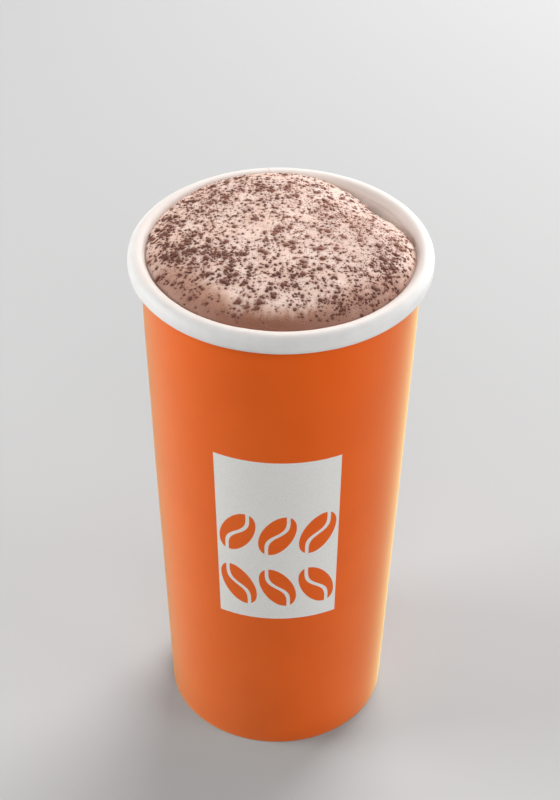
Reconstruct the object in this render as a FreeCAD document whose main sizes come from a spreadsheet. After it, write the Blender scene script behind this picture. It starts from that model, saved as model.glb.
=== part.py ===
# Mochaccino in a tall takeaway paper cup, filled to a dome of milk foam.
#
# Frame: millimetres, +Z up, origin at the centre of the foot, on the surface the cup stands on.
# The printed front of the cup faces -Y and the paper's lap seam is at the back, +Y.
#
#   cup_wall   wrapped paper side wall: rolled lip, slight neck, straight taper, in-folded foot, lap seam
#   cup_base   recessed paper bottom with its down-turned skirt, held in the fold of the foot
#   drink      coffee and milk foam, one solid from the bottom disc up to the uneven domed foam
import FreeCAD, Part
import math
import os
import Sketcher

doc = FreeCAD.newDocument("mochaccino")

# ---------------------------------------------------------------- driving sizes
SIZES = [
    ("lip_dia", 90.0, "diameter over the rolled lip"),
    ("roll_wide", 5.4, "lip roll, across"),
    ("roll_tall", 6.6, "lip roll, up and down"),
    ("roll_tuck", 0.35, "gap where the roll's edge tucks back to the wall"),
    ("lip_level", 171.0, "height of the middle of the lip roll"),
    ("paper", 0.5, "side wall paper"),
    ("base_dia", 70.6, "outside diameter at the foot"),
    ("neck_dia", 81.2, "outside diameter where the straight taper ends"),
    ("neck_drop", 30.0, "end of the taper below the middle of the roll"),
    ("throat_drop", 4.0, "start of the roll below its own middle"),
    ("foot_round", 0.35, "rounding of the folded foot"),
    ("fold_tall", 8.2, "height of the paper folded in at the foot"),
    ("fold_floor", 0.75, "bottom of the fold's slot above the table"),
    ("fold_play", 0.05, "play of the skirt in the fold, each side"),
    ("base_paper", 0.5, "bottom disc paper"),
    ("base_level", 9.4, "underside of the bottom disc above the table"),
    ("base_bend", 0.9, "outer bend radius of disc into skirt"),
    ("skirt_low", 1.1, "lower edge of the skirt above the table"),
    ("seam_span", 11.0, "width of the lap seam, degrees"),
    ("seam_step", 0.35, "step of the lap seam"),
    ("seam_low", 1.2, "lower end of the lap above the table"),
    ("drink_play", 0.05, "drink to paper"),
    ("ceiling", 20.0, "height left over the roll for the foam"),
    ("foam_edge", 0.9, "foam level at the lip above the middle of the roll"),
    ("foam_dome", 7.4, "rise of the foam from the lip to its middle"),
    ("foam_back", 1.2, "extra height of the foam at the back of the lip"),
    ("foam_back_dir", 100.0, "direction of that extra height, degrees from +X"),
    ("foam_back_span", 50.0, "half width of it, degrees"),
    ("foam_dip", 3.0, "drop of the foam's edge inside the lip at the right of the back"),
    ("foam_dip_dir", 38.0, "direction of that drop, degrees from +X"),
    ("foam_dip_span", 25.0, "half width of it, degrees"),
    ("foam_swell", 0.35, "height of the soft swells on the foam"),
    ("foam_step", 2.0, "spacing of the points that carry the foam's surface"),
]
sheet = doc.addObject("Spreadsheet::Sheet", "Sizes")
for row, (alias, number, note) in enumerate(SIZES, start=1):
    sheet.set("A%d" % row, alias)
    sheet.set("B%d" % row, repr(number))
    sheet.set("C%d" % row, note)
    sheet.setAlias("B%d" % row, alias)
doc.recompute()

V = FreeCAD.Vector


class Dim:
    """A length worked out from the sheet: its number and the expression that gives it."""

    def __init__(self, number, text):
        self.number, self.text = number, text

    @staticmethod
    def of(thing):
        return thing if isinstance(thing, Dim) else Dim(float(thing), repr(float(thing)))

    def __add__(self, other):
        o = Dim.of(other)
        return Dim(self.number + o.number, "(%s + %s)" % (self.text, o.text))

    def __sub__(self, other):
        o = Dim.of(other)
        return Dim(self.number - o.number, "(%s - %s)" % (self.text, o.text))

    def __mul__(self, other):
        o = Dim.of(other)
        return Dim(self.number * o.number, "(%s * %s)" % (self.text, o.text))

    def __truediv__(self, other):
        o = Dim.of(other)
        return Dim(self.number / o.number, "(%s / %s)" % (self.text, o.text))

    def root(self):
        return Dim(math.sqrt(self.number), "sqrt(%s)" % self.text)


def cell(alias):
    return Dim(float(getattr(sheet, alias)), "Sizes." + alias)


ZERO = Dim(0.0, "0")


def origin_part(body, role):
    for feature in body.Origin.OriginFeatures:
        if feature.Role == role:
            return feature
    raise RuntimeError("no origin feature " + role)


def section(body, name, plane, corners):
    """A closed section of straight and round edges.

    corners is a list of (x, y, edge). edge says how the way to the next corner is drawn: None is
    straight, and (radius, turn) is an arc, +1 anticlockwise and -1 clockwise, shorter way round.
    Every corner's two distances from the origin and every arc's radius are bound to the sheet.
    """
    sk = body.newObject("Sketcher::SketchObject", name)
    sk.AttachmentSupport = [(origin_part(body, plane), "")]
    sk.MapMode = "FlatFace"
    n = len(corners)
    for i in range(n):
        x0, y0, edge = corners[i]
        x1, y1, _ = corners[(i + 1) % n]
        a, b = V(x0.number, y0.number, 0), V(x1.number, y1.number, 0)
        if edge is None:
            sk.addGeometry(Part.LineSegment(a, b), False)
            continue
        radius, turn = edge[0].number, edge[1]
        chord = b - a
        up = math.sqrt(max(radius * radius - chord.Length ** 2 / 4, 0.0))
        side = V(-chord.y, chord.x, 0).normalize() * (up * turn)
        centre = (a + b) * 0.5 + side
        start, end = (a, b) if turn > 0 else (b, a)
        t0 = math.atan2(start.y - centre.y, start.x - centre.x)
        t1 = math.atan2(end.y - centre.y, end.x - centre.x)
        if t1 <= t0:
            t1 += 2 * math.pi
        sk.addGeometry(Part.ArcOfCircle(Part.Circle(centre, V(0, 0, 1), radius), t0, t1), False)

    def first(i):
        edge = corners[i][2]
        return 2 if edge is not None and edge[1] < 0 else 1

    for i in range(n):
        sk.addConstraint(Sketcher.Constraint("Coincident", i, 3 - first(i), (i + 1) % n, first((i + 1) % n)))
    for i, (x, y, edge) in enumerate(corners):
        for kind, axis, dim, tag in (("DistanceX", -2, x, "x"), ("DistanceY", -1, y, "y")):
            if dim is ZERO:
                sk.addConstraint(Sketcher.Constraint("PointOnObject", i, first(i), axis))
                continue
            c = sk.addConstraint(Sketcher.Constraint(kind, -1, 1, i, first(i), dim.number))
            sk.renameConstraint(c, "%s%d" % (tag, i))
            sk.setExpression("Constraints.%s%d" % (tag, i), dim.text)
        if edge is not None:
            c = sk.addConstraint(Sketcher.Constraint("Radius", i, edge[0].number))
            sk.renameConstraint(c, "r%d" % i)
            sk.setExpression("Constraints.r%d" % i, edge[0].text)
    doc.recompute()
    return sk


def turned(body, name, sk, degrees=None):
    """Turn a section about the cup's axis, all round or over a span centred on the section."""
    rev = body.newObject("PartDesign::Revolution", name)
    rev.Profile = sk
    rev.ReferenceAxis = (sk, ["V_Axis"])
    if degrees is None:
        rev.Angle = 360
    else:
        rev.Midplane = True
        rev.setExpression("Angle", degrees.text)
    doc.recompute()
    return rev


# ---------------------------------------------------------------- the cup's outline
foot_r = cell("base_dia") / 2
neck_r = cell("neck_dia") / 2
neck_z = cell("lip_level") - cell("neck_drop")
throat_z = cell("lip_level") - cell("throat_drop")
taper = (neck_r - foot_r) / neck_z
neck_rise = throat_z - neck_z
neck_out = taper * neck_rise / 2
throat_r = neck_r + neck_out
neck_arc = neck_rise * neck_rise / (neck_out * 2) + neck_out / 2
paper = cell("paper")

roll_t = cell("roll_wide") / 2
roll_s = (cell("roll_tall") - cell("roll_wide")) / 2
roll_r = cell("lip_dia") / 2 - roll_t
roll_hi = cell("lip_level") + roll_s
roll_lo = cell("lip_level") - roll_s
tuck_x = throat_r + cell("roll_tuck")
tuck_y = roll_lo - (roll_t * roll_t - (roll_r - tuck_x) * (roll_r - tuck_x)).root()
inner_t = roll_t - paper
tuck_in_x = roll_r - (roll_r - tuck_x) * inner_t / roll_t
tuck_in_y = roll_lo - (inner_t * inner_t - (roll_r - tuck_in_x) * (roll_r - tuck_in_x)).root()


def outside(z):
    """Outer radius of the tapered wall at height z."""
    return foot_r + taper * z


# ---------------------------------------------------------------- cup_wall
fold_z = cell("fold_tall")
slot_z = cell("fold_floor")
round_f = cell("foot_round")
slot_w = cell("base_paper") + cell("fold_play") * 2

wall = doc.addObject("PartDesign::Body", "cup_wall")
wall.Label = "cup_wall"
wall_section = section(wall, "wall_section", "XZ_Plane", [
    (tuck_x, tuck_y, (roll_t, 1)),
    (roll_r + roll_t, roll_lo, None),
    (roll_r + roll_t, roll_hi, (roll_t, 1)),
    (roll_r, roll_hi + roll_t, (roll_t, 1)),
    (roll_r - roll_t, roll_hi, None),
    (roll_r - roll_t, roll_lo, None),
    (throat_r - paper, throat_z, (neck_arc, -1)),
    (neck_r - paper, neck_z, None),
    (outside(slot_z) - paper, slot_z, None),
    (outside(slot_z) - paper - slot_w, slot_z, None),
    (outside(fold_z) - paper - slot_w, fold_z, None),
    (outside(fold_z) - paper * 2 - slot_w, fold_z, None),
    (outside(round_f) - paper * 2 - slot_w, round_f, (round_f, 1)),
    (outside(round_f) - paper * 2 - slot_w + round_f, ZERO, None),
    (outside(round_f) - round_f, ZERO, (round_f, 1)),
    (outside(round_f), round_f, None),
    (neck_r, neck_z, (neck_arc, 1)),
    (throat_r, throat_z, None),
    (roll_r - inner_t, roll_lo, None),
    (roll_r - inner_t, roll_hi, (inner_t, -1)),
    (roll_r, roll_hi + inner_t, (inner_t, -1)),
    (roll_r + inner_t, roll_hi, None),
    (roll_r + inner_t, roll_lo, (inner_t, -1)),
    (tuck_in_x, tuck_in_y, None),
])
turned(wall, "wall_turn", wall_section)

# The lap: a second thickness of the same paper over a narrow strip at the back, up to the roll.
seam_z = cell("seam_low")
seam_bite = paper / 2
seam_section = section(wall, "seam_section", "YZ_Plane", [
    (outside(seam_z) - seam_bite, seam_z, None),
    (outside(seam_z) + cell("seam_step"), seam_z, None),
    (neck_r + cell("seam_step"), neck_z, (neck_arc, 1)),
    (throat_r + cell("seam_step"), throat_z, None),
    (throat_r - seam_bite, throat_z, (neck_arc, -1)),
    (neck_r - seam_bite, neck_z, None),
])
turned(wall, "seam_turn", seam_section, cell("seam_span"))

# ---------------------------------------------------------------- cup_base
base_lo = cell("base_level")
base_hi = base_lo + cell("base_paper")
bend = cell("base_bend")
bend_in = bend - cell("base_paper")
bend_z = base_hi - bend
skirt_z = cell("skirt_low")


def skirt(z):
    """Outer radius of the skirt at height z, inside the wall's outer layer."""
    return outside(z) - paper - cell("fold_play")


base = doc.addObject("PartDesign::Body", "cup_base")
base.Label = "cup_base"
base_section = section(base, "base_section", "XZ_Plane", [
    (ZERO, base_lo, None),
    (skirt(bend_z) - cell("base_paper") - bend_in, base_lo, (bend_in, -1)),
    (skirt(bend_z) - cell("base_paper"), bend_z, None),
    (skirt(skirt_z) - cell("base_paper"), skirt_z, None),
    (skirt(skirt_z), skirt_z, None),
    (skirt(bend_z), bend_z, (bend, 1)),
    (skirt(bend_z) - bend, base_hi, None),
    (ZERO, base_hi, None),
])
turned(base, "base_turn", base_section)

# ---------------------------------------------------------------- drink
# The room inside the cup, over the bottom disc, against the wall and up over the inner half of the roll.
play = cell("drink_play")
floor_z = base_hi + play
over = roll_t + play
room = doc.addObject("PartDesign::Body", "drink_room")
room.Label = "drink_room"
room_section = section(room, "room_section", "XZ_Plane", [
    (ZERO, floor_z, None),
    (outside(floor_z) - paper - play, floor_z, None),
    (neck_r - paper - play, neck_z, (neck_arc, 1)),
    (throat_r - paper - play, throat_z, None),
    (roll_r - over, roll_lo, None),
    (roll_r - over, roll_hi, (over, -1)),
    (roll_r, roll_hi + over, None),
    (roll_r, roll_hi + cell("ceiling"), None),
    (ZERO, roll_hi + cell("ceiling"), None),
])
turned(room, "room_turn", room_section)


def lobe(angle, centre, half_width):
    """A smooth bump round the lip: 1 at centre, fading over half_width degrees."""
    d = (angle - centre + 180.0) % 360.0 - 180.0
    return math.exp(-(d / half_width) ** 2)


def foam_height(x, y, s):
    """Height of the foam's surface over the point (x, y), from the named sizes s."""
    inner = s["lip_dia"] / 2 - s["roll_wide"]
    rho = math.hypot(x, y) / inner
    angle = math.degrees(math.atan2(y, x))
    held = min(rho, 1.0)
    lift = s["foam_back"] * lobe(angle, s["foam_back_dir"], s["foam_back_span"]) * held ** 3
    drop = s["foam_dip"] * lobe(angle, s["foam_dip_dir"], s["foam_dip_span"]) * held ** 4
    dome = s["foam_dome"] * (1.0 - min(rho, 1.25) ** 4)
    swell = s["foam_swell"] * (1.0 - held ** 4) * (
        math.sin(0.17 * x + 0.6) * math.cos(0.13 * y - 0.4)
        + 0.6 * math.sin(0.26 * y + 0.11 * x + 1.9)
        + 0.4 * math.cos(0.31 * x - 0.19 * y + 0.7))
    return s["lip_level"] + s["foam_edge"] + lift - drop + dome + swell


numbers = dict((alias, float(getattr(sheet, alias))) for alias, _, _ in SIZES)
reach = numbers["lip_dia"] / 2 + 1.0
count = int(round(2 * reach / numbers["foam_step"])) + 1
steps = [-reach + 2 * reach * i / (count - 1) for i in range(count)]
surface = Part.BSplineSurface()
surface.interpolate([[V(x, y, foam_height(x, y, numbers)) for y in steps] for x in steps])
under_foam = doc.addObject("Part::Feature", "under_foam")
under_foam.Label = "under_foam"
under_foam.Shape = surface.toShape().extrude(V(0, 0, -(numbers["lip_level"] + 30.0)))

drink = doc.addObject("Part::Common", "drink")
drink.Label = "drink"
drink.Base = room
drink.Tool = under_foam
doc.recompute()

# ---------------------------------------------------------------- check and write
for thing in doc.Objects:
    for word in ("Invalid", "Error"):
        if word in thing.State:
            raise RuntimeError("%s is %s" % (thing.Name, thing.State))

os.makedirs("parts", exist_ok=True)
for node in (wall, base, drink):
    shape = node.Shape
    if shape.isNull() or not shape.isValid() or len(shape.Solids) != 1:
        raise RuntimeError("%s has no single valid solid" % node.Label)
    shape.exportStep("parts/%s.step" % node.Label)
    box = shape.BoundBox
    print("%-9s volume %8.2f cm3  box x %.2f %.2f  y %.2f %.2f  z %.2f %.2f" % (
        node.Label, shape.Volume / 1000, box.XMin, box.XMax, box.YMin, box.YMax, box.ZMin, box.ZMax))
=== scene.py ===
# Looks for the mochaccino in its paper cup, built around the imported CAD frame.
# Metres, +Z up, the cup's foot at the origin, its printed front towards -Y.
import bpy
import math
import numpy as np
from mathutils import Matrix, Vector


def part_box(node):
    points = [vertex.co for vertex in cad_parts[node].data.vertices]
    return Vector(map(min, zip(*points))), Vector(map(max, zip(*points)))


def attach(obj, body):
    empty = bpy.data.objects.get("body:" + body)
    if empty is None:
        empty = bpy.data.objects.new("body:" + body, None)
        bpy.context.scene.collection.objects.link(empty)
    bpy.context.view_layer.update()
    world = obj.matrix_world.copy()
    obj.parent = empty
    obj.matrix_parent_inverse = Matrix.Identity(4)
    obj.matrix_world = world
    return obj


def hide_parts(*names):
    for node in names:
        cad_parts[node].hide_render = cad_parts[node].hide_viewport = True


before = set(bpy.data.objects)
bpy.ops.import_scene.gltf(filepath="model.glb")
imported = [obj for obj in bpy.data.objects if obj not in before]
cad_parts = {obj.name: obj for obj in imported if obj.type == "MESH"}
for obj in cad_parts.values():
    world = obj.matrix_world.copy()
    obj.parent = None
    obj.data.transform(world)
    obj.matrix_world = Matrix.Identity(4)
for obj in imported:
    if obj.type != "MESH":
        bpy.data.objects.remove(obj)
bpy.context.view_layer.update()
MM = 0.001
rng = np.random.default_rng(20611)

# ---------------------------------------------------------------- the cup's sizes, in millimetres
wall_lo, wall_hi = (np.array(c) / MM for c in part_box("cup_wall"))
LIP_R = float(wall_hi[0])
ROLL_W, ROLL_H, TUCK = 5.4, 6.6, 0.35
PAPER = 0.5
LEVEL = float(wall_hi[2]) - ROLL_H / 2
NECK_Z, THROAT_Z = LEVEL - 30.0, LEVEL - 4.0
FOOT_R, NECK_R = 35.3, 40.6
ROLL_T, ROLL_S = ROLL_W / 2, (ROLL_H - ROLL_W) / 2
ROLL_R = LIP_R - ROLL_T
TAPER = (NECK_R - FOOT_R) / NECK_Z
NECK_RUN = THROAT_Z - NECK_Z
THROAT_R = NECK_R + TAPER * NECK_RUN / 2
FOLD_Z, SLOT_Z, FOOT_ROUND = 8.2, 0.75, 0.35
BASE_LO, BASE_PAPER, BEND, SKIRT_Z, PLAY = 9.4, 0.5, 0.9, 1.1, 0.05


def outside(z):
    """Outer radius of the paper wall at height z."""
    z = np.asarray(z, float)
    u = np.clip((z - NECK_Z) / NECK_RUN, 0, 1)
    return FOOT_R + TAPER * np.minimum(z, NECK_Z) + TAPER * NECK_RUN * (u - u * u / 2)


# ---------------------------------------------------------------- smooth noise
_perm = np.random.default_rng(5).permutation(256)
_perm = np.concatenate([_perm, _perm])
_grad = np.random.default_rng(6).normal(size=(256, 3))
_grad /= np.linalg.norm(_grad, axis=1)[:, None]


def noise3(x, y, z):
    """Gradient noise in about -1..1 over arrays of points."""
    x, y, z = np.broadcast_arrays(np.asarray(x, float), np.asarray(y, float), np.asarray(z, float))
    xi, yi, zi = np.floor(x).astype(int), np.floor(y).astype(int), np.floor(z).astype(int)
    xf, yf, zf = x - xi, y - yi, z - zi
    u, v, w = (t * t * t * (t * (t * 6 - 15) + 10) for t in (xf, yf, zf))
    out = 0
    for dx in (0, 1):
        for dy in (0, 1):
            for dz in (0, 1):
                h = _perm[(_perm[(_perm[(xi + dx) & 255] + yi + dy) & 255] + zi + dz) & 255]
                g = _grad[h]
                d = g[..., 0] * (xf - dx) + g[..., 1] * (yf - dy) + g[..., 2] * (zf - dz)
                out = out + d * (u if dx else 1 - u) * (v if dy else 1 - v) * (w if dz else 1 - w)
    return out * 1.6


def fbm(x, y, z, octaves=4, gain=0.5):
    total, amp, f = 0, 1.0, 1.0
    for k in range(octaves):
        total = total + amp * noise3(x * f + 17.3 * k, y * f - 9.1 * k, z * f + 5.7 * k)
        amp *= gain
        f *= 2.03
    return total


def step01(a, b, x):
    t = np.clip((x - a) / (b - a), 0, 1)
    return t * t * (3 - 2 * t)


# ---------------------------------------------------------------- node helpers
def new_material(name):
    m = bpy.data.materials.new(name)
    m.use_nodes = True
    nt = m.node_tree
    nt.nodes.clear()
    out = nt.nodes.new("ShaderNodeOutputMaterial")
    bsdf = nt.nodes.new("ShaderNodeBsdfPrincipled")
    nt.links.new(bsdf.outputs["BSDF"], out.inputs["Surface"])
    return m, nt, bsdf


def node(nt, kind, **settings):
    n = nt.nodes.new(kind)
    for k, v in settings.items():
        if hasattr(n, k):
            setattr(n, k, v)
        else:
            n.inputs[k].default_value = v
    return n


class Val:
    """A shader number that can be written as a sum."""

    def __init__(self, nt, socket):
        self.nt, self.socket = nt, socket

    def _math(self, op, *others, clamp=False):
        n = self.nt.nodes.new("ShaderNodeMath")
        n.operation = op
        n.use_clamp = clamp
        self.nt.links.new(self.socket, n.inputs[0])
        for i, o in enumerate(others, start=1):
            if isinstance(o, Val):
                self.nt.links.new(o.socket, n.inputs[i])
            else:
                n.inputs[i].default_value = float(o)
        return Val(self.nt, n.outputs[0])

    def __add__(self, o): return self._math("ADD", o)
    def __sub__(self, o): return self._math("SUBTRACT", o)
    def __mul__(self, o): return self._math("MULTIPLY", o)
    def __truediv__(self, o): return self._math("DIVIDE", o)
    def abs(self): return self._math("ABSOLUTE")
    def max(self, o): return self._math("MAXIMUM", o)
    def min(self, o): return self._math("MINIMUM", o)
    def root(self): return self._math("SQRT")
    def sin(self): return self._math("SINE")
    def power(self, o): return self._math("POWER", o)

    def ramp(self, a, b):
        """0 at a, 1 at b, smooth between."""
        n = self.nt.nodes.new("ShaderNodeMapRange")
        n.interpolation_type = "SMOOTHSTEP"
        self.nt.links.new(self.socket, n.inputs["Value"])
        n.inputs["From Min"].default_value = a
        n.inputs["From Max"].default_value = b
        return Val(self.nt, n.outputs["Result"])


def mix_colour(nt, fac, a, b):
    n = nt.nodes.new("ShaderNodeMix")
    n.data_type = "RGBA"
    for i, thing in ((0, fac), (6, a), (7, b)):
        if isinstance(thing, Val):
            nt.links.new(thing.socket, n.inputs[i])
        elif hasattr(thing, "links"):
            nt.links.new(thing, n.inputs[i])
        elif i:
            n.inputs[i].default_value = (*thing, 1.0)
        else:
            n.inputs[i].default_value = thing
    return n.outputs[2]


def srgb(r, g, b):
    """Linear colour from 0-255 screen values."""
    out = []
    for c in (r, g, b):
        c /= 255.0
        out.append(c / 12.92 if c <= 0.04045 else ((c + 0.055) / 1.055) ** 2.4)
    return tuple(out)


# ---------------------------------------------------------------- mesh helpers
def mesh_object(name, verts, faces, smooth=True):
    me = bpy.data.meshes.new(name)
    me.from_pydata([tuple(v) for v in np.asarray(verts) * MM], [], faces)
    me.update()
    if smooth:
        me.polygons.foreach_set("use_smooth", np.ones(len(me.polygons), bool))
    ob = bpy.data.objects.new(name, me)
    bpy.context.scene.collection.objects.link(ob)
    return ob


def arc(cx, cz, r, a0, a1, n, skip_first=False):
    a = np.radians(np.linspace(a0, a1, n + 1))
    pts = [(cx + r * math.cos(t), cz + r * math.sin(t)) for t in a]
    return pts[1:] if skip_first else pts


def lathe(profile, kinds, around):
    """Vertices and quads of a closed section turned all round. kinds gives each section edge's material."""
    n = len(profile)
    ang = np.linspace(0, 2 * math.pi, around, endpoint=False)
    p = np.array(profile)
    v = np.stack([np.outer(np.cos(ang), p[:, 0]), np.outer(np.sin(ang), p[:, 0]),
                  np.tile(p[:, 1], (around, 1))], -1)
    i = np.arange(around)[:, None]
    j = np.arange(n)[None, :]
    i2, j2 = (i + 1) % around, (j + 1) % n
    quads = np.stack(np.broadcast_arrays(i * n + j, i2 * n + j, i2 * n + j2, i * n + j2), -1).reshape(-1, 4)
    mats = np.tile(np.array(kinds), around)
    return v.reshape(-1, 3), quads, mats


# ---------------------------------------------------------------- cup wall
SEAM = 90.0            # direction of the lap seam, degrees
SEAM_HALF = 5.5        # half its width
SEAM_STEP = 0.35


def seam_lift(deg):
    """Rise of the outer sheet where it laps over the other: it climbs slowly and ends in a sharp step."""
    d = (np.asarray(deg, float) - SEAM + 180.0) % 360.0 - 180.0
    return SEAM_STEP * step01(-SEAM_HALF - 4.0, -SEAM_HALF, d) * (d < SEAM_HALF)


roll_lo, roll_hi = LEVEL - ROLL_S, LEVEL + ROLL_S
tuck_x = THROAT_R + TUCK
tuck_a = -math.degrees(math.acos((tuck_x - ROLL_R) / ROLL_T))
section, kinds = [], []


def run(points, kind):
    """Add points to the section; kind is the material of the edges that lead to the next point."""
    for p in points:
        section.append(p)
        kinds.append(kind)


WHITE, PRINT, RAW = 0, 1, 2
run(arc(ROLL_R, roll_lo, ROLL_T, tuck_a, 0, 18), WHITE)
run(arc(ROLL_R, roll_hi, ROLL_T, 0, 180, 30), WHITE)
run([(ROLL_R - ROLL_T, z) for z in np.linspace(roll_hi, roll_lo, 4)[1:]], WHITE)
lean = [(u, roll_lo + (THROAT_Z - roll_lo) * u) for u in np.linspace(0, 1, 8)[1:]]
run([(ROLL_R - ROLL_T + (THROAT_R - PAPER - ROLL_R + ROLL_T) * (u * u * (3 - 2 * u)), z) for u, z in lean], WHITE)
for z in np.linspace(THROAT_Z, NECK_Z, 9)[1:]:
    run([(float(outside(z)) - PAPER, z)], WHITE)
for z in np.linspace(NECK_Z, SLOT_Z, 12)[1:]:
    run([(float(outside(z)) - PAPER, z)], WHITE)
slot = BASE_PAPER + 2 * PLAY
run([(float(outside(SLOT_Z)) - PAPER - slot, SLOT_Z)], WHITE)
run([(float(outside(FOLD_Z)) - PAPER - slot, FOLD_Z)], RAW)
for z in np.linspace(FOLD_Z, FOOT_ROUND, 10):
    run([(float(outside(z)) - 2 * PAPER - slot, z)], PRINT)
fin = float(outside(FOOT_ROUND)) - 2 * PAPER - slot
fout = float(outside(FOOT_ROUND))
run(arc(fin + FOOT_ROUND, FOOT_ROUND, FOOT_ROUND, 180, 270, 5, True), PRINT)
run(arc(fout - FOOT_ROUND, FOOT_ROUND, FOOT_ROUND, 270, 360, 5), PRINT)
for z in np.linspace(FOOT_ROUND, THROAT_Z, 64)[1:]:
    run([(float(outside(z)), z)], PRINT)
lean = [(u, THROAT_Z + (roll_lo - THROAT_Z) * u) for u in np.linspace(0, 1, 7)[1:]]
run([(THROAT_R + (ROLL_R - ROLL_T + PAPER - THROAT_R) * (u * u * (3 - 2 * u)), z) for u, z in lean], PRINT)
inner_t = ROLL_T - PAPER
run(arc(ROLL_R, roll_hi, inner_t, 180, 0, 18), PRINT)
run(arc(ROLL_R, roll_lo, inner_t, 0, tuck_a, 10), PRINT)
kinds[-1] = RAW

# columns round the cup, with a close pair where the outer sheet ends
columns = np.linspace(0, 360, 400, endpoint=False)
edge_deg = SEAM + SEAM_HALF
columns = np.sort(np.concatenate([columns[np.abs(columns - edge_deg) > 0.3], [edge_deg - 0.03, edge_deg + 0.03]]))
sec = np.array(section)
n_sec, n_col = len(sec), len(columns)
deg = np.repeat(columns, n_sec)
phi = np.radians(deg)
r = np.tile(sec[:, 0], n_col)
z = np.tile(sec[:, 1], n_col)
cosp, sinp = np.cos(phi), np.sin(phi)
on_roll = step01(THROAT_Z - 1.0, LEVEL - 1.0, z)
# the paper isn't quite round, and the roll is pressed a little unevenly
r += (1 - on_roll) * step01(0, 25, z) * 0.16 * noise3(cosp * 1.3, sinp * 1.3, z / 70.0)
r += on_roll * (-0.05 + 0.07 * noise3(cosp * 3.1, sinp * 3.1, 4.0) + 0.03 * noise3(cosp * 9, sinp * 9, z / 3.0))
z += on_roll * (-0.06 + 0.10 * noise3(cosp * 2.2 + 7, sinp * 2.2, 1.0) + 0.03 * noise3(cosp * 11, sinp * 11, 8.0))
# the lap stands out on the outer face, and thickens the roll
outer_face = np.tile(np.array([k == PRINT for k in kinds]) & (sec[:, 0] > np.array(outside(sec[:, 1])) - 0.01)
                     & (sec[:, 1] > 1.0) & (sec[:, 1] < THROAT_Z + 0.5), n_col)
lap = seam_lift(deg)
r += lap * outer_face * step01(1.0, 1.4, z)
away = np.stack([r - ROLL_R, z - LEVEL], -1)
away /= np.maximum(np.linalg.norm(away, axis=1), 1e-6)[:, None]
visible_roll = np.tile(np.array([k == WHITE for k in kinds]) & (sec[:, 1] > THROAT_Z + 0.8), n_col)
r += lap * visible_roll * away[:, 0] * 0.2
z += lap * visible_roll * away[:, 1] * 0.2
r = np.minimum(r, LIP_R - 0.01)
z = np.minimum(z, LEVEL + ROLL_H / 2 - 0.01)
verts = np.stack([r * np.cos(phi), r * np.sin(phi), z], -1)
i = np.arange(n_col)[:, None]
j = np.arange(n_sec)[None, :]
i2, j2 = (i + 1) % n_col, (j + 1) % n_sec
quads = np.stack(np.broadcast_arrays(i * n_sec + j, i2 * n_sec + j, i2 * n_sec + j2, i * n_sec + j2), -1).reshape(-1, 4)
cup = mesh_object("paper_cup", verts, quads.tolist())
cup.data.polygons.foreach_set("material_index", np.tile(np.array(kinds), n_col))

# ---------------------------------------------------------------- cup bottom
def skirt(zz):
    return float(outside(zz)) - PAPER - PLAY


bend_in = BEND - BASE_PAPER
bend_z = BASE_LO + BASE_PAPER - BEND
b_sec = [(0.0, BASE_LO)]
b_sec += [(rr, BASE_LO) for rr in np.linspace(0, skirt(bend_z) - BASE_PAPER - bend_in, 24)[1:-1]]
b_sec += arc(skirt(bend_z) - BASE_PAPER - bend_in, bend_z, bend_in, 90, 0, 6)
b_sec += [(skirt(zz) - BASE_PAPER, zz) for zz in np.linspace(bend_z, SKIRT_Z, 6)[1:]]
b_sec += [(skirt(zz), zz) for zz in np.linspace(SKIRT_Z, bend_z, 6)]
b_sec += arc(skirt(bend_z) - BEND, bend_z, BEND, 0, 90, 6, True)
b_sec += [(rr, BASE_LO + BASE_PAPER) for rr in np.linspace(skirt(bend_z) - BEND, 0, 12)[1:-1]]
b_sec += [(0.0, BASE_LO + BASE_PAPER)]
bs = np.array(b_sec)
n_b, n_a = len(bs), 240
ang = np.linspace(0, 2 * math.pi, n_a, endpoint=False)
bv, bf = [(0.0, 0.0, BASE_LO - 0.22)], []
for a in ang:
    for rr, zz in bs[1:-1]:
        sag = 0.22 * (1 - (rr / 34.0) ** 2) if zz > 8.9 and rr < 33 else 0.0
        sag += 0.05 * math.sin(3 * a + 0.4) * (rr / 34.0) if zz > 8.9 and rr < 33 else 0.0
        bv.append((rr * math.cos(a), rr * math.sin(a), zz - max(sag, 0.0)))
bv.append((0.0, 0.0, BASE_LO + BASE_PAPER - 0.22))
m = n_b - 2
for q in range(n_a):
    q2 = (q + 1) % n_a
    bf.append((0, 1 + q2 * m, 1 + q * m))
    for k in range(m - 1):
        bf.append((1 + q * m + k, 1 + q2 * m + k, 1 + q2 * m + k + 1, 1 + q * m + k + 1))
    bf.append((len(bv) - 1, 1 + q * m + m - 1, 1 + q2 * m + m - 1))
bottom = mesh_object("cup_bottom", bv, bf)

# ---------------------------------------------------------------- drink and foam
EDGE, BACK, BACK_DIR, BACK_SPAN = 0.9, 1.2, 100.0, 50.0
SINK, SINK_DIR, SINK_SPAN = 3.0, 38.0, 25.0   # where the thick foam has sunk away from the lip
FILM, SHELF = 0.3, 0.060                        # rise of the milk left on the paper there, and its share of the radius
DOME = 6.9
BITE = 0.15            # how far the drink reaches into the paper


def lobe(deg, centre, span):
    d = (np.asarray(deg, float) - centre + 180.0) % 360.0 - 180.0
    return np.exp(-(d / span) ** 2)


def sunk(deg):
    """1 in the middle of the place where the foam has sunk, 0 away from it."""
    return lobe(deg, SINK_DIR, SINK_SPAN)


def full_edge(deg):
    """Height of the foam's edge over the middle of the roll as it was poured."""
    a = np.radians(deg)
    rough = 0.16 * noise3(np.cos(a) * 4, np.sin(a) * 4, 2.0) + 0.10 * noise3(np.cos(a) * 13, np.sin(a) * 13, 6.0)
    return EDGE + BACK * lobe(deg, BACK_DIR, BACK_SPAN) + rough


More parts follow.
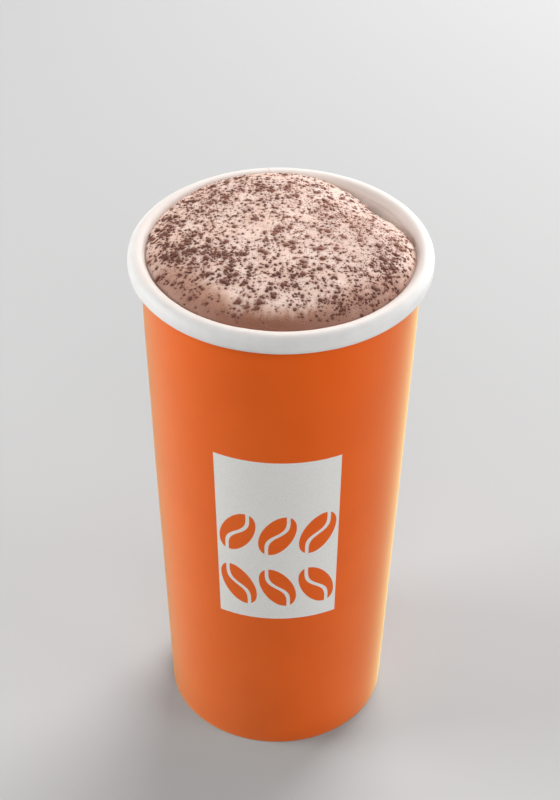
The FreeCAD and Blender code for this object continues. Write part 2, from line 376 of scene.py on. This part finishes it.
def edge_height(deg):
    """Height at which foam or milk meets the paper, all round the cup."""
    a = np.radians(deg)
    scallop = 0.30 * noise3(np.cos(a) * 16, np.sin(a) * 16, 11.0)
    return full_edge(deg) + sunk(deg) * (FILM + scallop)


def mound_share(deg):
    """Share of the radius that the thick foam covers."""
    a = np.radians(deg)
    ragged = 0.016 * noise3(np.cos(a) * 14, np.sin(a) * 14, 3.0) + 0.008 * noise3(np.cos(a) * 34, np.sin(a) * 34, 9.0)
    return 1.0 - sunk(deg) * (SHELF + ragged)


_u = np.linspace(0, 1, 20)
_ce = np.concatenate([[-30.0, -4.0], -4.0 + (4.0 - ROLL_S) * _u[1:], [ROLL_S],
                      ROLL_S + ROLL_T * np.sin(np.radians(np.linspace(5, 88, 20)))])
_cr = np.concatenate([[float(outside(LEVEL - 30)) - PAPER, THROAT_R - PAPER],
                      THROAT_R - PAPER + (ROLL_R - ROLL_T - THROAT_R + PAPER) * (_u * _u * (3 - 2 * _u))[1:],
                      [ROLL_R - ROLL_T],
                      ROLL_R - ROLL_T * np.cos(np.radians(np.linspace(5, 88, 20)))])


def contact_radius(e):
    """Radius at which the paper is met at height e over the middle of the roll."""
    return np.interp(e, _ce, _cr) + BITE


def foam_surface(x, y):
    """Height over the table of the foam, its smooth body with swells but without bubbles."""
    deg = np.degrees(np.arctan2(y, x))
    poured, gone = full_edge(deg), sunk(deg)
    rho = np.minimum(np.hypot(x, y) / contact_radius(edge_height(deg)), 1.0)
    share = mound_share(deg)
    q = np.minimum(rho / share, 1.0)
    foot = poured - SINK * gone
    soften = 0.10 * gone
    body = EDGE + (foot - EDGE) * q ** 3.5 + DOME * (np.sqrt(np.maximum(1.0 - q ** 3, 0.0) + soften ** 2) - soften)
    out = np.clip((rho - share) / np.maximum(1.0 - share, 1e-4), 0.0, 1.0)
    rise = (edge_height(deg) - foot) * out ** 1.6
    inside = 1.0 - rho ** 5
    swell = inside * (0.34 * fbm(x / 17.0, y / 17.0, 3.1, 3) + 0.14 * noise3(x / 5.0, y / 5.0, 9.0))
    return LEVEL + body + rise + swell


def coffee_and_shade_band(x, y, deg, rho):
    """1 where the foam's lower front slope is brown, partly with coffee and partly as painted shade, 0 on the pale top.
    """
    d = deg % 360
    # the brown is kept to the front, the side turned away from the main lights, so it is painted shade as well as
    # coffee
    front = step01(178, 212, d) * (1 - step01(325, 352, d))
    ca, sa = np.cos(np.radians(deg)), np.sin(np.radians(deg))
    inner = 0.862 - 0.12 * lobe(deg, 220, 20) - 0.065 * lobe(deg, 309, 17) + 0.035 * lobe(deg, 249, 5)
    inner = inner + 0.050 * noise3(ca * 9, sa * 9, 3.3) + 0.035 * noise3(ca * 24, sa * 24, 5.1)
    inner = inner + 0.018 * noise3(ca * 60, sa * 60, rho * 6)
    soft = step01(inner - 0.075, inner + 0.075, rho)
    thin = step01(0.955, 1.0, rho) * 0.40
    return np.maximum(soft * front, thin)


GRID = 284
t = np.linspace(-1, 1, GRID)
gu, gv = np.meshgrid(t, t, indexing="ij")
big = np.abs(gu) > np.abs(gv)
with np.errstate(divide="ignore", invalid="ignore"):
    rad = np.where(big, gu, gv)
    pa = np.where(big, (math.pi / 4) * gv / gu, math.pi / 2 - (math.pi / 4) * gu / gv)
pa = np.nan_to_num(pa)
dx, dy = rad * np.cos(pa), rad * np.sin(pa)
rho_g = np.minimum(np.hypot(dx, dy), 1.0)
deg_g = np.degrees(np.arctan2(dy, dx))
e_g = edge_height(deg_g)
rc_g = contact_radius(e_g)
fx, fy = dx * rc_g, dy * rc_g
fz = foam_surface(fx, fy)
on_edge = rho_g > 0.9999
fz[on_edge] = LEVEL + e_g[on_edge]

# fine relief: streaks down the front slope, burst bubbles, and a fine froth
fade = 1 - step01(0.965, 1.0, rho_g)
streak = noise3(np.cos(np.radians(deg_g)) * 20, np.sin(np.radians(deg_g)) * 20, rho_g * 3.0)
fz += fade * step01(0.72, 0.9, rho_g) * 0.06 * streak
fz += fade * (0.05 * fbm(fx / 1.4, fy / 1.4, 7.0, 3) + 0.022 * noise3(fx / 0.5, fy / 0.5, 1.0))
top_z = LEVEL + EDGE + 7.4 + 0.2
pits = rng.random((900, 4))
for a, b, c, d in pits:
    rr, aa = 38.0 * math.sqrt(a), 2 * math.pi * b
    px, py, size = rr * math.cos(aa), rr * math.sin(aa), 0.22 + 0.55 * c ** 3
    near = (np.abs(fx - px) < size * 2) & (np.abs(fy - py) < size * 2)
    if near.any():
        q = np.hypot(fx[near] - px, fy[near] - py) / size
        fz[near] += fade[near] * size * (0.20 * np.exp(-((q - 1.0) / 0.35) ** 2) - 0.30 * np.exp(-(q / 0.7) ** 2)) * 0.6
fz = np.minimum(fz, float(wall_hi[2]) + 5.4)

foam_v = [np.stack([fx, fy, fz], -1).reshape(-1, 3)]
idx = np.arange(GRID * GRID).reshape(GRID, GRID)
foam_f = np.stack([idx[:-1, :-1], idx[1:, :-1], idx[1:, 1:], idx[:-1, 1:]], -1).reshape(-1, 4).tolist()
rim_loop = np.concatenate([idx[:-1, 0], idx[-1, :-1], idx[:0:-1, -1], idx[0, :0:-1]])
rim_deg = deg_g.reshape(-1)[rim_loop]
rim_e = e_g.reshape(-1)[rim_loop]
levels = [THROAT_Z - LEVEL - 1.5, THROAT_Z - LEVEL - 6.0, NECK_Z - LEVEL, 100.0 - LEVEL, 40.0 - LEVEL]
levels.append(BASE_LO + BASE_PAPER - LEVEL)
prev = rim_loop
count = GRID * GRID
for k, lv in enumerate(levels):
    if k == 0:
        lv = np.minimum(lv, rim_e - 0.8)
    zz = LEVEL + lv + 0 * rim_e
    rr = outside(zz) - PAPER + BITE
    ring = np.arange(count, count + len(rim_loop))
    foam_v.append(np.stack([rr * np.cos(np.radians(rim_deg)), rr * np.sin(np.radians(rim_deg)), zz], -1))
    foam_f += np.stack([prev, ring, np.roll(ring, -1), np.roll(prev, -1)], -1).tolist()
    prev = ring
    count += len(rim_loop)
foam_v.append(np.array([[0, 0, BASE_LO + BASE_PAPER]]))
foam_f += np.stack([prev, np.full_like(prev, count), np.roll(prev, -1)], -1).tolist()
foam_v = np.concatenate(foam_v)
foam = mesh_object("milk_foam", foam_v, foam_f)

# ---------------------------------------------------------------- cocoa and chocolate on the foam
# Where the grains fell: centre x, y, half widths, turn in degrees, amount, share of coarse grains
FALLS = [
    (-33.0, 3.0, 4.5, 13.0, 8, 1.35, 0.8),
    (-23.0, 19.0, 11.0, 8.0, 38, 1.05, 0.65),
    (-2.0, 28.0, 17.0, 6.5, 0, 0.7, 0.5),
    (-9.0, 7.0, 13.0, 10.0, 0, 0.25, 0.6),
    (-6.0, -14.0, 10.0, 6.0, 0, 0.70, 0.9),
    (-21.0, -12.0, 9.0, 7.0, -20, 0.95, 0.7),
    (-30.0, -15.0, 5.0, 6.0, -30, 0.8, 0.6),
    (20.0, 8.0, 14.0, 13.0, -15, 1.25, 0.20),
    (-3.0, -25.0, 13.0, 4.0, 0, 0.75, 0.85),
    (32.0, -13.0, 7.0, 6.0, 30, 1.7, 0.75),
    (14.0, -22.0, 12.0, 5.0, 20, 0.25, 0.75),
    (21.0, -29.5, 8.0, 3.0, 35, 1.7, 0.75),
]


def fall(x, y):
    """Density of grains at a point and the share of them that is coarse."""
    total = 0.45 + 0 * x
    coarse = 0.5 * total
    for cx, cy, sx, sy, turn, amount, share in FALLS:
        a = math.radians(turn)
        u = (x - cx) * math.cos(a) + (y - cy) * math.sin(a)
        v = -(x - cx) * math.sin(a) + (y - cy) * math.cos(a)
        g = amount * np.exp(-0.5 * ((u / sx) ** 2 + (v / sy) ** 2))
        total = total + g
        coarse = coarse + g * share
    clump = 0.70 + 0.60 * noise3(x / 4.2, y / 4.2, 0.5) + 0.30 * noise3(x / 1.9, y / 1.9, 8.0)
    return total * np.clip(clump, 0.05, 1.6), coarse / total


def scatter(count, kind):
    """Points on the foam, denser where more fell. kind +1 favours coarse falls, -1 fine ones."""
    out = np.zeros((0, 2))
    while len(out) < count:
        n = count * 4
        rr = 39.4 * np.sqrt(rng.random(n))
        aa = rng.random(n) * 2 * math.pi
        x, y = rr * np.cos(aa), rr * np.sin(aa)
        d, c = fall(x, y)
        w = d * (c if kind > 0 else (1 - c) if kind < 0 else 0.6)
        slope = step01(39.6, 36.5, rr) * 0.6 + 0.4
        deg = np.degrees(np.arctan2(y, x))
        on_mound = rr / contact_radius(edge_height(deg)) < mound_share(deg) - 0.015 * sunk(deg)
        keep = on_mound & (rng.random(n) < w * slope / 1.7)
        out = np.concatenate([out, np.stack([x[keep], y[keep]], -1)])
    return out[:count]


def icosphere(level):
    import bmesh
    bm = bmesh.new()
    bmesh.ops.create_icosphere(bm, subdivisions=level, radius=1.0)
    v = np.array([p.co[:] for p in bm.verts])
    f = np.array([[q.index for q in p.verts] for p in bm.faces])
    bm.free()
    return v, f


def surface_frame(x, y):
    h = 0.25
    zx = (foam_surface(x + h, y) - foam_surface(x - h, y)) / (2 * h)
    zy = (foam_surface(x, y + h) - foam_surface(x, y - h)) / (2 * h)
    n = np.stack([-zx, -zy, np.ones_like(zx)], -1)
    n /= np.linalg.norm(n, axis=1)[:, None]
    return n


def grains(name, level, spots, sizes, flat, jag, sink, tones):
    """Many small irregular crumbs as one mesh, each lying on the foam, flattened along its normal."""
    base_v, base_f = icosphere(level)
    n = len(spots)
    x, y = spots[:, 0], spots[:, 1]
    normal = surface_frame(x, y)
    spin = rng.random(n) * 2 * math.pi
    ref = np.stack([np.cos(spin), np.sin(spin), np.zeros(n)], -1)
    t1 = ref - normal * (ref * normal).sum(1)[:, None]
    t1 /= np.linalg.norm(t1, axis=1)[:, None]
    t2 = np.cross(normal, t1)
    half = sizes / 2
    long = half * (0.85 + 0.45 * rng.random(n))
    wide = half * (0.70 + 0.40 * rng.random(n))
    tall = half * (flat[0] + (flat[1] - flat[0]) * rng.random(n))
    lumps = 1.0 + jag * rng.normal(size=(n, len(base_v), 1)).clip(-1.6, 1.6)
    local = base_v[None] * lumps * np.stack([long, wide, tall], -1)[:, None, :]
    axes = np.stack([t1, t2, normal], 1)
    world = np.einsum("nvk,nkc->nvc", local, axes)
    centre = np.stack([x, y, foam_surface(x, y)], -1) + normal * (tall * sink)[:, None]
    v = (world + centre[:, None, :]).reshape(-1, 3)
    v[:, 2] = np.minimum(v[:, 2], float(wall_hi[2]) + 5.4)
    f = (base_f[None] + (np.arange(n) * len(base_v))[:, None, None]).reshape(-1, 3)
    ob = mesh_object(name, v, f.tolist(), smooth=True)
    coarse_share = fall(x, y)[1]
    mixv = np.clip(0.60 * rng.random(n) + 1.8 * (0.70 - coarse_share), 0.0, 1.0)
    col = np.array(tones[0])[None] * (1 - mixv[:, None]) + np.array(tones[1])[None] * mixv[:, None]
    col = np.repeat(col, len(base_v), axis=0)
    attr = ob.data.color_attributes.new("tone", "FLOAT_COLOR", "POINT")
    attr.data.foreach_set("color", np.concatenate([col, np.ones((len(col), 1))], 1).reshape(-1))
    return ob


DARK, MID, LIGHT = srgb(98, 52, 38), srgb(158, 104, 84), srgb(186, 140, 121)
N_A, N_B, N_C, N_D = 250, 1650, 3200, 6000
spots_a = scatter(N_A, 1)
size_a = 1.05 + 0.85 * rng.random(N_A) ** 2.0
spots_b = scatter(N_B, 1)
size_b = 0.56 + 0.54 * rng.random(N_B)
spots_c = scatter(N_C, 0)
size_c = 0.32 + 0.28 * rng.random(N_C)
spots_d = scatter(N_D, -1)
size_d = 0.16 + 0.18 * rng.random(N_D)
# coarse grains break into small clusters
near_a = np.repeat(spots_a, 2, axis=0) + rng.normal(size=(2 * N_A, 2)) * 0.72
near_a = near_a[np.hypot(near_a[:, 0], near_a[:, 1]) < 38.8]
size_n = 0.45 + 0.5 * rng.random(len(near_a))
coarse = grains("chocolate_crumbs", 2, np.concatenate([spots_a, near_a]), np.concatenate([size_a, size_n]),
                (0.40, 0.65), 0.10, -0.05, (DARK, MID))
medium = grains("chocolate_grains", 1, spots_b, size_b, (0.40, 0.7), 0.12, -0.1, (DARK, MID))
small = grains("cocoa_grains", 1, spots_c, size_c, (0.45, 0.8), 0.10, -0.1, (MID, LIGHT))
powder = grains("cocoa_powder", 1, spots_d, size_d, (0.5, 0.9), 0.0, 0.0, (MID, LIGHT))

# ---------------------------------------------------------------- foam colours, with painted shade on the front slope, kept on its points
PALE = np.array(srgb(243, 219, 206))
WARM = np.array(srgb(231, 197, 181))
# brown of the front slope, partly coffee and partly painted shade, and its darker shade near the rim
SLOPE_COFFEE_SHADE = np.array(srgb(178, 127, 102))
RIM_COFFEE_SHADE = np.array(srgb(150, 98, 76))
STAIN = np.array(srgb(164, 116, 97))
MILK = np.array(srgb(247, 234, 227))
px, py = foam_v[:, 0], foam_v[:, 1]
pdeg = np.degrees(np.arctan2(py, px))
prho = np.minimum(np.hypot(px, py) / contact_radius(edge_height(pdeg)), 1.0)
cloud = step01(-0.5, 0.6, fbm(px / 7.0, py / 7.0, 1.7, 4))
warm = (0.25 + 0.65 * cloud)[:, None]
col = PALE[None] * (1 - warm) + WARM[None] * warm
# painted shade with coffee on the front slope: strongest where it faces straight ahead, darkest near the rim
coffee_and_shade = coffee_and_shade_band(px, py, pdeg, prho)
coffee_and_shade = coffee_and_shade * (0.62 + 0.38 * lobe(pdeg, 264, 38))
low = step01(0.86, 0.97, prho)[:, None]
col = col * (1 - coffee_and_shade[:, None]) + (SLOPE_COFFEE_SHADE[None] * (1 - low) + RIM_COFFEE_SHADE[None] * low) * coffee_and_shade[:, None]
clean = step01(0.0, 0.03, prho - mound_share(pdeg) + 0.01) * step01(0.10, 0.35, sunk(pdeg))
col = col * (1 - clean[:, None]) + MILK[None] * clean[:, None]
dens, _ = fall(px, py)
dens = dens * (1 - clean)
veil = (np.clip(dens * 0.14, 0, 0.26) + 0.28 * np.exp(-((px - 25.0) / 13.0) ** 2 - ((py - 2.0) / 15.0) ** 2) * (1 - clean)) * (prho < 1)
col = col * (1 - veil[:, None]) + STAIN[None] * veil[:, None]


def stain(points, sizes, reach, strength):
    """Cocoa bleeds into the foam round a grain."""
    from mathutils import kdtree
    tree = kdtree.KDTree(len(points))
    for k, p in enumerate(points):
        tree.insert((p[0], p[1], 0.0), k)
    tree.balance()
    out = np.zeros(len(px))
    limit = float(sizes.max()) * reach
    for k in range(GRID * GRID):
        co, q, d = tree.find((px[k], py[k], 0.0))
        if d is not None and d < limit:
            rr = sizes[q] * 0.5
            out[k] = strength * (1 - min(max((d - rr * 0.8) / (rr * (reach - 0.8)), 0.0), 1.0)) ** 1.5
    return out


for pts, siz, reach, amount in ((spots_a, size_a, 2.6, 0.72), (spots_b, size_b, 2.5, 0.56), (spots_c, size_c, 2.6, 0.34)):
    w = stain(pts, siz, reach, amount)[:, None]
    w = w * (1 - clean[:, None])
    col = col * (1 - w) + STAIN[None] * w
attr = foam.data.color_attributes.new("tone", "FLOAT_COLOR", "POINT")
attr.data.foreach_set("color", np.concatenate([col, np.ones((len(col), 1))], 1).reshape(-1))

# ---------------------------------------------------------------- materials
def object_point(nt):
    tc = nt.nodes.new("ShaderNodeTexCoord")
    return tc.outputs["Object"]


def noise_node(nt, vector, scale, detail=3.0, rough=0.5):
    n = nt.nodes.new("ShaderNodeTexNoise")
    nt.links.new(vector, n.inputs["Vector"])
    n.inputs["Scale"].default_value = scale
    n.inputs["Detail"].default_value = detail
    n.inputs["Roughness"].default_value = rough
    return Val(nt, n.outputs["Fac"])


def add_bump(nt, bsdf, height, distance, strength=1.0):
    b = nt.nodes.new("ShaderNodeBump")
    b.inputs["Distance"].default_value = distance
    b.inputs["Strength"].default_value = strength
    nt.links.new(height.socket, b.inputs["Height"])
    nt.links.new(b.outputs["Normal"], bsdf.inputs["Normal"])


def paper_height(nt, p):
    """The felt side of board: soft cloudiness and short fibres."""
    stretch = nt.nodes.new("ShaderNodeMapping")
    stretch.inputs["Scale"].default_value = (1.0, 1.0, 0.45)
    nt.links.new(p, stretch.inputs["Vector"])
    return noise_node(nt, p, 900.0, 2.0) * 0.5 + noise_node(nt, stretch.outputs["Vector"], 3200.0, 3.0) * 0.5


def white_paper(name, tone, warm_roll_tint=False):
    m, nt, bsdf = new_material(name)
    p = object_point(nt)
    mott = noise_node(nt, p, 260.0, 4.0)
    c = mix_colour(nt, mott.ramp(0.3, 0.7), srgb(*(v - 5 for v in tone)), srgb(*tone))
    if warm_roll_tint:
        # a faint warm tint on the inner half of the roll, near its top
        split = nt.nodes.new("ShaderNodeSeparateXYZ")
        nt.links.new(p, split.inputs[0])
        x, y, z = (Val(nt, split.outputs[k]) for k in range(3))
        out = (x * x + y * y).root() * 1000.0
        tint_wobble = (noise_node(nt, p, 190.0, 3.0) - 0.5) * 1.8
        c = mix_colour(nt, (out + tint_wobble).ramp(ROLL_R + 2.2, ROLL_R - 0.4) * (z * 1000.0).ramp(LEVEL - 2.0, LEVEL) * 0.75,
                       c, srgb(230, 215, 206))
    nt.links.new(c, bsdf.inputs["Base Color"])
    bsdf.inputs["Roughness"].default_value = 0.5
    bsdf.inputs["Specular IOR Level"].default_value = 0.35
    bsdf.inputs["Subsurface Weight"].default_value = 0.12
    bsdf.inputs["Subsurface Radius"].default_value = (0.0012, 0.0011, 0.0010)
    bsdf.inputs["Subsurface Scale"].default_value = 1.0
    add_bump(nt, bsdf, paper_height(nt, p), 0.00003)
    return m


mat_white = white_paper("white_paper", (234, 233, 231), warm_roll_tint=True)
mat_raw = white_paper("cut_paper_edge", (222, 214, 202))

# printed outside: solid orange with a white field low on the front that carries six plain coffee beans
LABEL_HALF, LABEL_LO, LABEL_HI = 28.3, 59.5, 125.2
mat_print, nt, bsdf = new_material("printed_paper")
p = object_point(nt)
xyz = nt.nodes.new("ShaderNodeSeparateXYZ")
nt.links.new(p, xyz.inputs[0])
px_, py_, pz_ = (Val(nt, xyz.outputs[k]) for k in range(3))
turn = px_._math("ARCTAN2", py_ * -1.0) * (180 / math.pi)
up = pz_ * 1000.0 - LABEL_LO
across = (turn - (up * -0.0153 + 0.45)) * (math.pi / 180 * 38.7)   # applied a touch askew
half_w = math.radians(LABEL_HALF) * 38.7
tall = LABEL_HI - LABEL_LO
fuzz = (noise_node(nt, p, 1500.0, 2.0) - 0.5) * 0.12
in_u = (across.abs() + fuzz - half_w).ramp(0.07, -0.07)
in_v = ((up - tall / 2).abs() + fuzz - tall / 2).ramp(0.07, -0.07)
field = in_u * in_v
# beans: three columns and two rows, the rows leaning opposite ways
COL_W, ROW_H, ROW_0 = 12.4, 22.2, 2.6
cell_u = (across + COL_W * 1.5)._math("FLOORED_MODULO", COL_W) - COL_W / 2
cell_v = (up - ROW_0)._math("FLOORED_MODULO", ROW_H) - ROW_H / 2
row_sign = (up - ROW_0 - ROW_H).ramp(-0.01, 0.01) * 2.0 - 1.0
in_rows = (across.abs() - COL_W * 1.5).ramp(0.02, -0.02) * ((up - ROW_0 - ROW_H).abs() - ROW_H).ramp(0.02, -0.02)
lean_c, lean_s = math.cos(math.radians(27)), math.sin(math.radians(27))
bu = cell_u * lean_c - cell_v * row_sign * lean_s
bv_ = cell_v * lean_c + cell_u * row_sign * lean_s
ell = ((bu / 4.9)._math("POWER", 2.0) + (bv_ / 8.6)._math("POWER", 2.0)).root()
bean = ((ell - 1.0) * 5.5 + fuzz).ramp(0.09, -0.09)
crease = (bu - (bv_ * 0.42).sin() * 1.25 * row_sign).abs()
open_ends = (bv_.abs() - 7.2).ramp(0.05, -0.05)
slit = (crease + fuzz - 0.62).ramp(0.08, -0.08)
motif = bean * (slit * -1.0 + 1.0) * in_rows
white_area = field * (motif * -1.0 + 1.0)
ink = noise_node(nt, p, 45.0, 3.0)
orange = mix_colour(nt, ink.ramp(0.3, 0.7), srgb(232, 89, 0), srgb(237, 93, 2))
spots = noise_node(nt, p, 2600.0, 2.0)
label_white = mix_colour(nt, spots.ramp(0.35, 0.65), srgb(229, 227, 225), srgb(236, 235, 233))
# the studio floor is shielded from most of the orange the wall throws on it
path = nt.nodes.new("ShaderNodeLightPath")
thrown = mix_colour(nt, Val(nt, path.outputs["Is Diffuse Ray"]) * 0.65, orange, srgb(150, 128, 118))
nt.links.new(mix_colour(nt, white_area, thrown, label_white), bsdf.inputs["Base Color"])
bsdf.inputs["Specular IOR Level"].default_value = 0.12
bsdf.inputs["Sheen Weight"].default_value = 0.75
bsdf.inputs["Sheen Roughness"].default_value = 0.42
bsdf.inputs["Sheen Tint"].default_value = (0.84, 0.94, 0.46, 1.0)
rough = noise_node(nt, p, 700.0, 2.0) * 0.08 + 0.34
nt.links.new(rough.socket, bsdf.inputs["Roughness"])
add_bump(nt, bsdf, paper_height(nt, p) + white_area * -0.15, 0.000025)

for m in (mat_white, mat_print, mat_raw):
    cup.data.materials.append(m)
bottom.data.materials.append(white_paper("bottom_paper", (232, 230, 226)))

# milk foam
mat_foam, nt, bsdf = new_material("milk_foam")
p = object_point(nt)
tone = node(nt, "ShaderNodeVertexColor", layer_name="tone")
fine = noise_node(nt, p, 2300.0, 3.0)
cell_t = nt.nodes.new("ShaderNodeTexVoronoi")
nt.links.new(p, cell_t.inputs["Vector"])
cell_t.inputs["Scale"].default_value = 1900.0
cells = Val(nt, cell_t.outputs["Distance"])
mixn = nt.nodes.new("ShaderNodeMix")
mixn.data_type = "RGBA"
mixn.blend_type = "MULTIPLY"
mixn.inputs[0].default_value = 0.35
nt.links.new(tone.outputs["Color"], mixn.inputs[6])
shade = mix_colour(nt, fine.ramp(0.3, 0.7), srgb(226, 214, 206), (1.0, 1.0, 1.0))
nt.links.new(shade, mixn.inputs[7])
nt.links.new(mixn.outputs[2], bsdf.inputs["Base Color"])
bsdf.inputs["Roughness"].default_value = 0.55
bsdf.inputs["Specular IOR Level"].default_value = 0.35
bsdf.inputs["Subsurface Weight"].default_value = 0.35
bsdf.inputs["Subsurface Radius"].default_value = (0.0022, 0.0014, 0.0010)
bsdf.inputs["Subsurface Scale"].default_value = 1.0
add_bump(nt, bsdf, fine * 0.6 + cells * 0.4, 0.00008)
foam.data.materials.append(mat_foam)

# cocoa and chocolate
mat_cocoa, nt, bsdf = new_material("cocoa")
p = object_point(nt)
tone = node(nt, "ShaderNodeVertexColor", layer_name="tone")
grain = noise_node(nt, p, 3500.0, 3.0)
mixn = nt.nodes.new("ShaderNodeMix")
mixn.data_type = "RGBA"
mixn.blend_type = "MULTIPLY"
mixn.inputs[0].default_value = 0.6
nt.links.new(tone.outputs["Color"], mixn.inputs[6])
nt.links.new(mix_colour(nt, grain.ramp(0.3, 0.7), srgb(170, 150, 140), (1.0, 1.0, 1.0)), mixn.inputs[7])
nt.links.new(mixn.outputs[2], bsdf.inputs["Base Color"])
bsdf.inputs["Roughness"].default_value = 0.6
bsdf.inputs["Specular IOR Level"].default_value = 0.3
add_bump(nt, bsdf, grain, 0.00006)
for ob in (coarse, medium, small, powder):
    ob.data.materials.append(mat_cocoa)

# ---------------------------------------------------------------- the frame
for ob, slot_name in ((cup, "orange_paper"), (bottom, "white_paper"), (foam, "milk_foam"),
                      (coarse, "cocoa"), (medium, "cocoa"), (small, "cocoa"), (powder, "cocoa")):
    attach(ob, "root")
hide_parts("cup_wall")
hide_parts("cup_base")
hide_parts("drink")

# ---------------------------------------------------------------- floor, light, camera
round_floor = [(1250 * math.cos(math.radians(a)), 1250 * math.sin(math.radians(a)), 0) for a in range(0, 360, 3)]
floor = mesh_object("floor", round_floor, [tuple(range(len(round_floor)))], False)
mat_floor, nt, bsdf = new_material("floor_matte")
bsdf.inputs["Base Color"].default_value = (*srgb(181, 181, 181), 1.0)
bsdf.inputs["Roughness"].default_value = 0.75
bsdf.inputs["Specular IOR Level"].default_value = 0.2
floor.data.materials.append(mat_floor)

world = bpy.data.worlds.new("studio")
bpy.context.scene.world = world
world.use_nodes = True
bg = world.node_tree.nodes["Background"]
bg.inputs["Color"].default_value = (0.95, 0.97, 1.0, 1.0)
bg.inputs["Strength"].default_value = 0.04
# the empty studio beyond the floor is seen as a plain pale wall, and lights the cup only faintly
wt = world.node_tree
wall_seen = wt.nodes.new("ShaderNodeBackground")
wall_seen.inputs["Color"].default_value = (*srgb(222, 222, 221), 1.0)
wall_seen.inputs["Strength"].default_value = 1.0
seen = wt.nodes.new("ShaderNodeLightPath")
which = wt.nodes.new("ShaderNodeMixShader")
wt.links.new(seen.outputs["Is Camera Ray"], which.inputs[0])
wt.links.new(bg.outputs[0], which.inputs[1])
wt.links.new(wall_seen.outputs[0], which.inputs[2])
wt.links.new(which.outputs[0], wt.nodes["World Output"].inputs["Surface"])


def soft_box(name, azimuth, elevation, distance, width, height, power, colour=(1.0, 1.0, 1.0)):
    """A studio light at an azimuth from +X and an elevation over the middle of the cup, aimed at it."""
    a, e = math.radians(azimuth), math.radians(elevation)
    aim = Vector((0, 0, 0.1))
    place = aim + Vector((math.cos(a) * math.cos(e), math.sin(a) * math.cos(e), math.sin(e))) * distance
    light = bpy.data.lights.new(name, "AREA")
    light.shape = "RECTANGLE"
    light.size, light.size_y = width, height
    light.energy = power
    light.color = colour
    ob = bpy.data.objects.new(name, light)
    ob.location = place
    ob.rotation_euler = (aim - place).to_track_quat("-Z", "Y").to_euler()
    ob.visible_camera = False
    bpy.context.scene.collection.objects.link(ob)
    return ob


soft_box("key_high", 70, 42, 1.3, 0.8, 0.8, 15.4)
soft_box("key_low", 60, 12, 1.3, 0.7, 0.7, 9.5)
soft_box("back_right", 30, 12, 1.3, 0.7, 0.7, 2.8)
soft_box("back_left", 150, 12, 1.3, 0.7, 0.7, 2.0)
soft_box("front", 276, 40, 1.3, 0.8, 0.8, 4.9)
soft_box("front_left", 232, 40, 1.3, 0.7, 0.7, 0.6)
soft_box("side_right", 0, 12, 1.3, 0.7, 0.7, 1.0)
soft_box("left", 182, 18, 0.75, 0.34, 0.42, 4.1)
soft_box("right", 334, 18, 0.75, 0.36, 0.42, 2.1)

FOCUS, BACK_OFF, HIGH, PITCH, ROLL, SIDE = 2045.92, 494.307, 512.145, 38.6386, -0.7016, 0.2219
cam_data = bpy.data.cameras.new("camera")
cam_data.sensor_fit = "VERTICAL"
cam_data.sensor_width = 36.0
cam_data.sensor_height = 36.0
cam_data.lens = FOCUS * 36.0 / 800.0
cam_data.clip_start = 0.05
cam_data.clip_end = 30.0
cam = bpy.data.objects.new("camera", cam_data)
th, rho = math.radians(PITCH), math.radians(ROLL)
ahead, upward, right = Vector((0, math.cos(th), -math.sin(th))), Vector((0, math.sin(th), math.cos(th))), Vector((1, 0, 0))
cx_ = right * math.cos(rho) - upward * math.sin(rho)
cy_ = right * math.sin(rho) + upward * math.cos(rho)
turn_m = Matrix((cx_, cy_, -ahead)).transposed()
cam.matrix_world = Matrix.Translation(Vector((SIDE, -BACK_OFF, HIGH)) * MM) @ turn_m.to_4x4()
bpy.context.scene.collection.objects.link(cam)
bpy.context.scene.camera = cam

scene = bpy.context.scene
scene.view_settings.view_transform = "Standard"
scene.view_settings.look = "None"
scene.view_settings.exposure = 0.0
